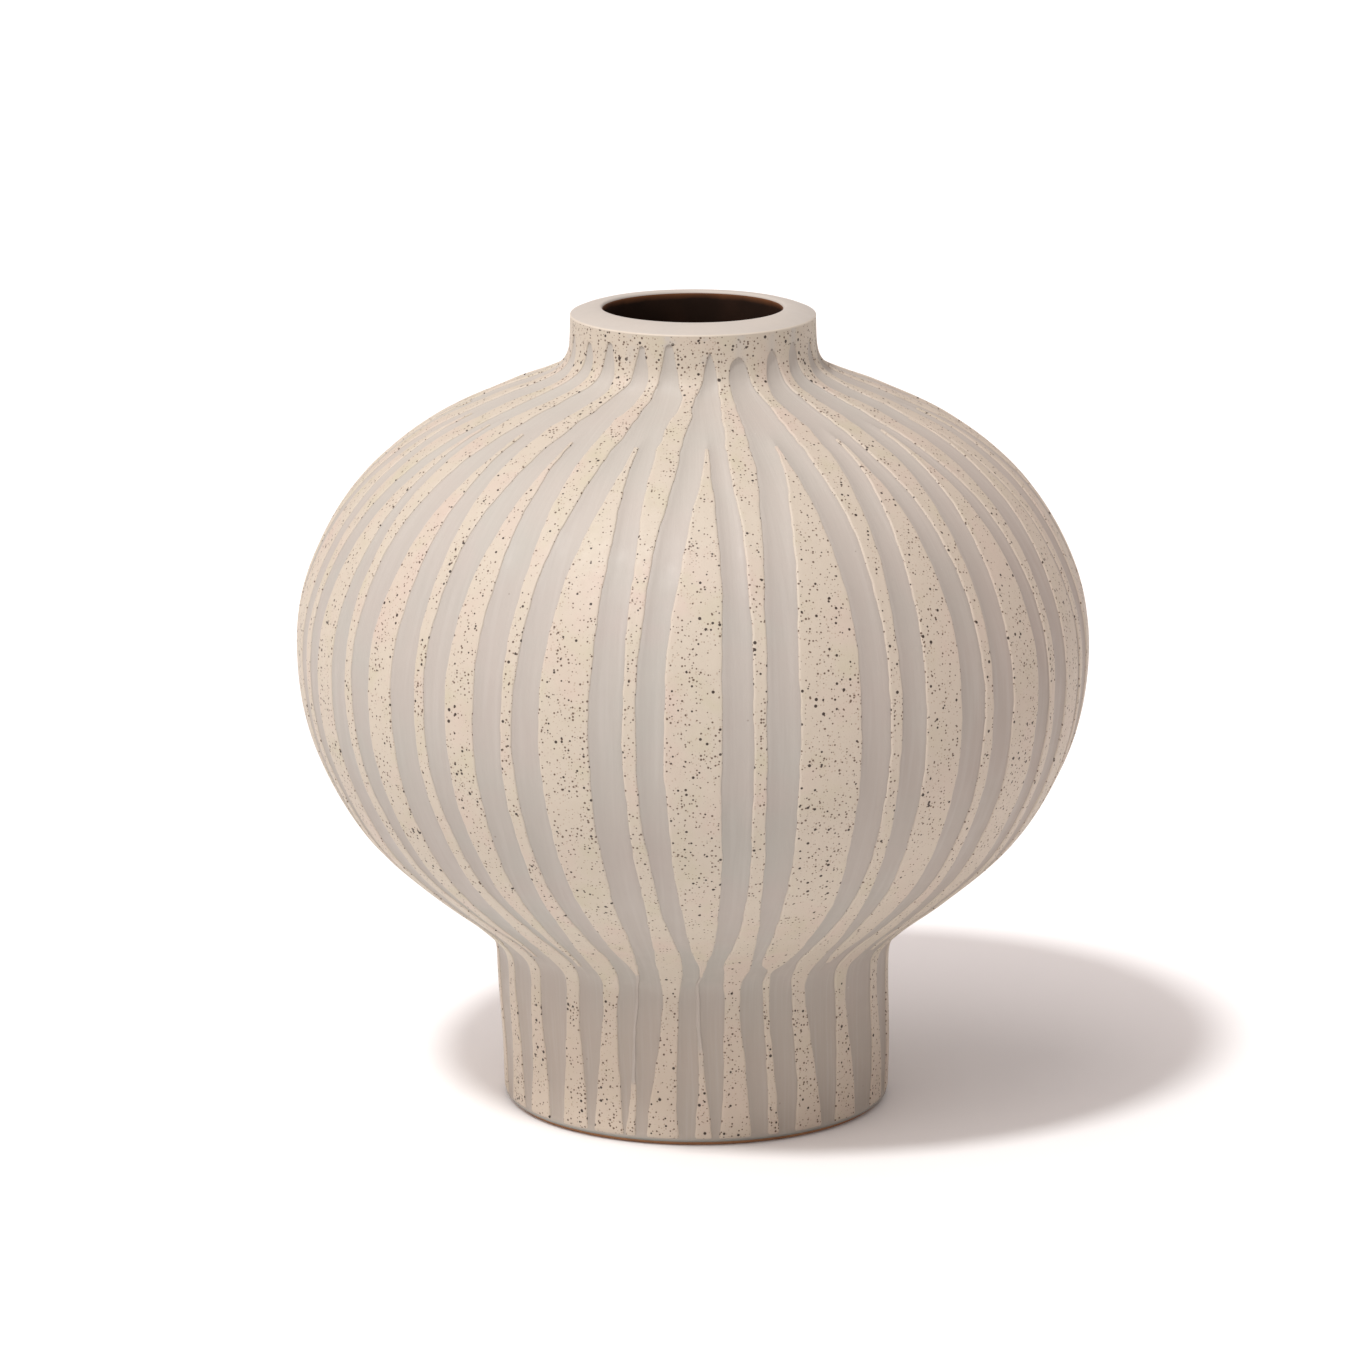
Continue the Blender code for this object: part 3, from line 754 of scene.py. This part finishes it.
def groove_glaze():
    """Thin satin grey glaze on the scraped clay: fine tool streaks along the groove and a few specks, with
    painted shade on the right side, below the belly and towards the foot, and a painted sheen over the
    shoulder.
    """
    n = Nodes("groove_glaze_fired", 0.4)
    warm, cool, rosy = (0.402, 0.369, 0.333), (0.388, 0.372, 0.336), (0.404, 0.362, 0.328)
    tint = n.mix(n.fit(n.noise(45.0, 3.0), 0.42, 0.62), warm, cool)
    tint = n.mix(n.fit(n.noise(60.0, 3.0), 0.50, 0.75), tint, rosy)
    # Painted shade: darker and redder towards the right side, away from the lights
    tint = n.mix(n.fit(n.across, 12 * MM, 62 * MM, 0.0, 0.55), tint, (0.340, 0.268, 0.228))
    # Painted shade: darker and warmer towards the foot
    tint = n.mix(n.fit(n.height, 36 * MM, 20 * MM, 0.0, 0.50), tint, (0.370, 0.305, 0.245))
    # Painted light: paler over the shoulder, a painted sheen where the shoulder faces up to the lights
    tint = n.mix(n.fit(n.height, 108 * MM, 126 * MM, 0.0, 0.30), tint, (0.520, 0.478, 0.420))
    # Painted shade: darker below the belly, where the underside faces down, away from the lights
    tint = n.mix(n.fit(n.height, 96 * MM, 70 * MM, 0.0, 0.16), tint, (0.300, 0.265, 0.225))
    stretch = n.add("ShaderNodeMapping", {"Vector": n.attribute("flow", "Vector"), "Scale": (1.0, 0.05, 1.0)})
    streak = n.noise(2300.0, 3.0, 0.65, stretch.outputs["Vector"])
    broad_streak = n.noise(800.0, 2.0, 0.5, stretch.outputs["Vector"])
    tint = n.mix(n.fit(streak, 0.35, 0.75, 0.0, 0.18), tint, (0.330, 0.300, 0.270))
    tint = n.mix(n.fit(broad_streak, 0.5, 0.8, 0.0, 0.22), tint, (0.500, 0.475, 0.440))
    crowd = n.noise(70.0, 2.0)
    dark = n.specks(3.2, 0.34, crowd, 0.88, 0.14)
    pale = n.specks(4.1, 0.30, crowd, 0.86, 0.10)
    colour = n.mix(n.maths("MULTIPLY", dark, 0.55), tint, (0.170, 0.145, 0.120))
    colour = n.mix(n.maths("MULTIPLY", pale, 0.5), colour, (0.620, 0.600, 0.570))
    colour = n.mix(n.maths("MULTIPLY", n.attribute("bead"), 0.85), colour, (0.215, 0.225, 0.205))
    n.shader.inputs["Specular IOR Level"].default_value = 0.32
    rough = n.fit(n.noise(260.0, 3.0), 0.3, 0.7, 0.46, 0.60)
    height = n.maths("ADD", n.maths("MULTIPLY", streak, 0.5), n.maths("MULTIPLY", n.noise(180.0, 2.0), 1.2))
    return n.finish(colour, rough, height, 0.05, 0.8)


def lip_glaze():
    """Smooth cream-grey glaze, drawn thin and yellow along the outer corner."""
    n = Nodes("lip_glaze_fired", 0.5)
    n.shader.inputs["Specular IOR Level"].default_value = 0.35
    tint = n.mix(n.fit(n.noise(120.0, 3.0), 0.35, 0.7), (0.470, 0.432, 0.385), (0.450, 0.420, 0.380))
    tint = n.mix(n.fit(n.noise(700.0, 3.0), 0.55, 0.8, 0.0, 0.3), tint, (0.420, 0.380, 0.330))
    tint = n.mix(n.maths("MULTIPLY", n.attribute("corner"), 0.70), tint, (0.600, 0.535, 0.440))
    rough = n.fit(n.noise(400.0, 2.0), 0.3, 0.7, 0.46, 0.56)
    return n.finish(tint, rough, n.noise(300.0, 3.0), 0.03, 0.7)


def brown_glaze():
    """Thick glaze, almost black, breaking to rust where it runs thin under the lip."""
    n = Nodes("brown_glaze_fired", 0.5)
    ragged = n.maths("ADD", n.height, n.maths("MULTIPLY", n.noise(260.0, 2.0), 0.9 * MM))
    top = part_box("lip")[1].z
    thin = n.fit(ragged, top - 1.1 * MM, top - 0.1 * MM)
    dark = n.mix(n.fit(n.noise(180.0, 3.0), 0.4, 0.7), (0.019, 0.0105, 0.0070), (0.027, 0.0135, 0.0085))
    colour = n.mix(thin, dark, (0.130, 0.052, 0.022))
    n.shader.inputs["Specular IOR Level"].default_value = 0.10
    rough = n.fit(n.noise(500.0, 2.0), 0.3, 0.7, 0.44, 0.54)
    return n.finish(colour, rough, n.noise(120.0, 2.0), 0.05, 0.6)


def raw_clay():
    """Unglazed stoneware, toasted orange-brown, gritty."""
    n = Nodes("raw_clay_fired", 0.9)
    tint = n.mix(n.noise(300.0, 4.0, 0.6), (0.26, 0.115, 0.050), (0.46, 0.24, 0.120))
    grit = n.specks(0.9, 0.2, n.noise(200.0), 0.6)
    colour = n.mix(n.maths("MULTIPLY", grit, 0.5), tint, (0.12, 0.06, 0.035))
    rough = n.fit(n.noise(900.0, 2.0), 0.3, 0.7, 0.82, 0.95)
    return n.finish(colour, rough, n.noise(1800.0, 4.0, 0.7), 0.12, 1.0)


def pale_floor():
    n = Nodes("pale_floor_paint", 0.6)
    tint = n.mix(n.noise(3.0, 2.0), (0.90, 0.90, 0.90), (0.93, 0.93, 0.93))
    return n.finish(tint)


# ---------------------------------------------------------------- the vase

def build_vase():
    slip, groove = speckled_slip(), groove_glaze()
    cells = lay_out()
    clay_body(cells, groove)
    all_rows = np.arange(len(ROWS))
    radius = radius_at(ROWS)
    for k, stem in enumerate(STEMS):
        before = cells[k - 1]
        left = before["b"] - (math.tau if k == 0 else 0.0)
        right = cells[k]["a"]
        gap_left = (before["b"] - before["a"]) * radius
        gap_right = (cells[k]["b"] - cells[k]["a"]) * radius
        name = stem["node"].replace("stem_band", "stem")
        band_piece(name, all_rows, left, right, gap_left, gap_right, STEM_COLUMNS, stem["node"], slip)
    wide = np.full(len(ROWS), 2 * OPEN_GROOVE)
    for cell in cells:
        rows = np.flatnonzero(cell["inside"])
        belly = (cell["left"] + cell["right"])[rows].mean() / 2
        node = min(LEAVES, key=lambda b: abs(np.angle(np.exp(1j * (b["middle"] - belly)))))["node"]
        name = node.replace("leaf_band", "leaf")
        band_piece(name, rows, cell["left"], cell["right"], wide, wide, LEAF_COLUMNS, node, slip)
    collar(slip)
    lip(lip_glaze())
    lining(brown_glaze())
    foot_ring(raw_clay())


# ---------------------------------------------------------------- the studio

def add_floor():
    mesh = bpy.data.meshes.new("studio_floor")
    corners = [(x * FLOOR_HALF, y * FLOOR_HALF, 0.0) for x, y in ((-1, -1), (1, -1), (1, 1), (-1, 1))]
    mesh.from_pydata(corners, [], [(0, 1, 2, 3)])
    mesh.materials.append(pale_floor())
    floor = bpy.data.objects.new("studio_floor", mesh)
    bpy.context.scene.collection.objects.link(floor)


def add_sun(name, towards, spread_deg, strength, colour):
    """A distant light of a given spread: narrow for a crisp shadow, wide for a softbox."""
    data = bpy.data.lights.new(name, "SUN")
    data.angle = math.radians(spread_deg)
    data.energy = strength
    data.color = colour
    light = bpy.data.objects.new(name, data)
    bpy.context.scene.collection.objects.link(light)
    x, y, z = towards
    light.rotation_euler = (math.atan2(math.hypot(x, y), z), 0.0, math.atan2(x, -y))


def add_camera():
    data = bpy.data.cameras.new("camera")
    data.sensor_width = 36.0
    data.lens = CAMERA_LENS
    data.clip_end = 50.0
    camera = bpy.data.objects.new("camera", data)
    bpy.context.scene.collection.objects.link(camera)
    camera.location = CAMERA_PLACE
    camera.rotation_euler = (math.radians(CAMERA_TILT_DEG), 0.0, 0.0)
    bpy.context.scene.camera = camera


def add_studio():
    scene = bpy.context.scene
    scene.view_settings.view_transform = "Standard"
    world = bpy.data.worlds.new("studio")
    scene.world = world
    world.use_nodes = True
    sky = world.node_tree.nodes["Background"]
    sky.inputs["Color"].default_value = (*FILL_COLOUR, 1.0)
    sky.inputs["Strength"].default_value = FILL_STRENGTH
    add_sun("key_light", *KEY_LIGHT, (1.0, 1.0, 1.0))
    add_sun("big_softbox", *SOFTBOX, FILL_COLOUR)


add_camera()
add_floor()
add_studio()
build_vase()
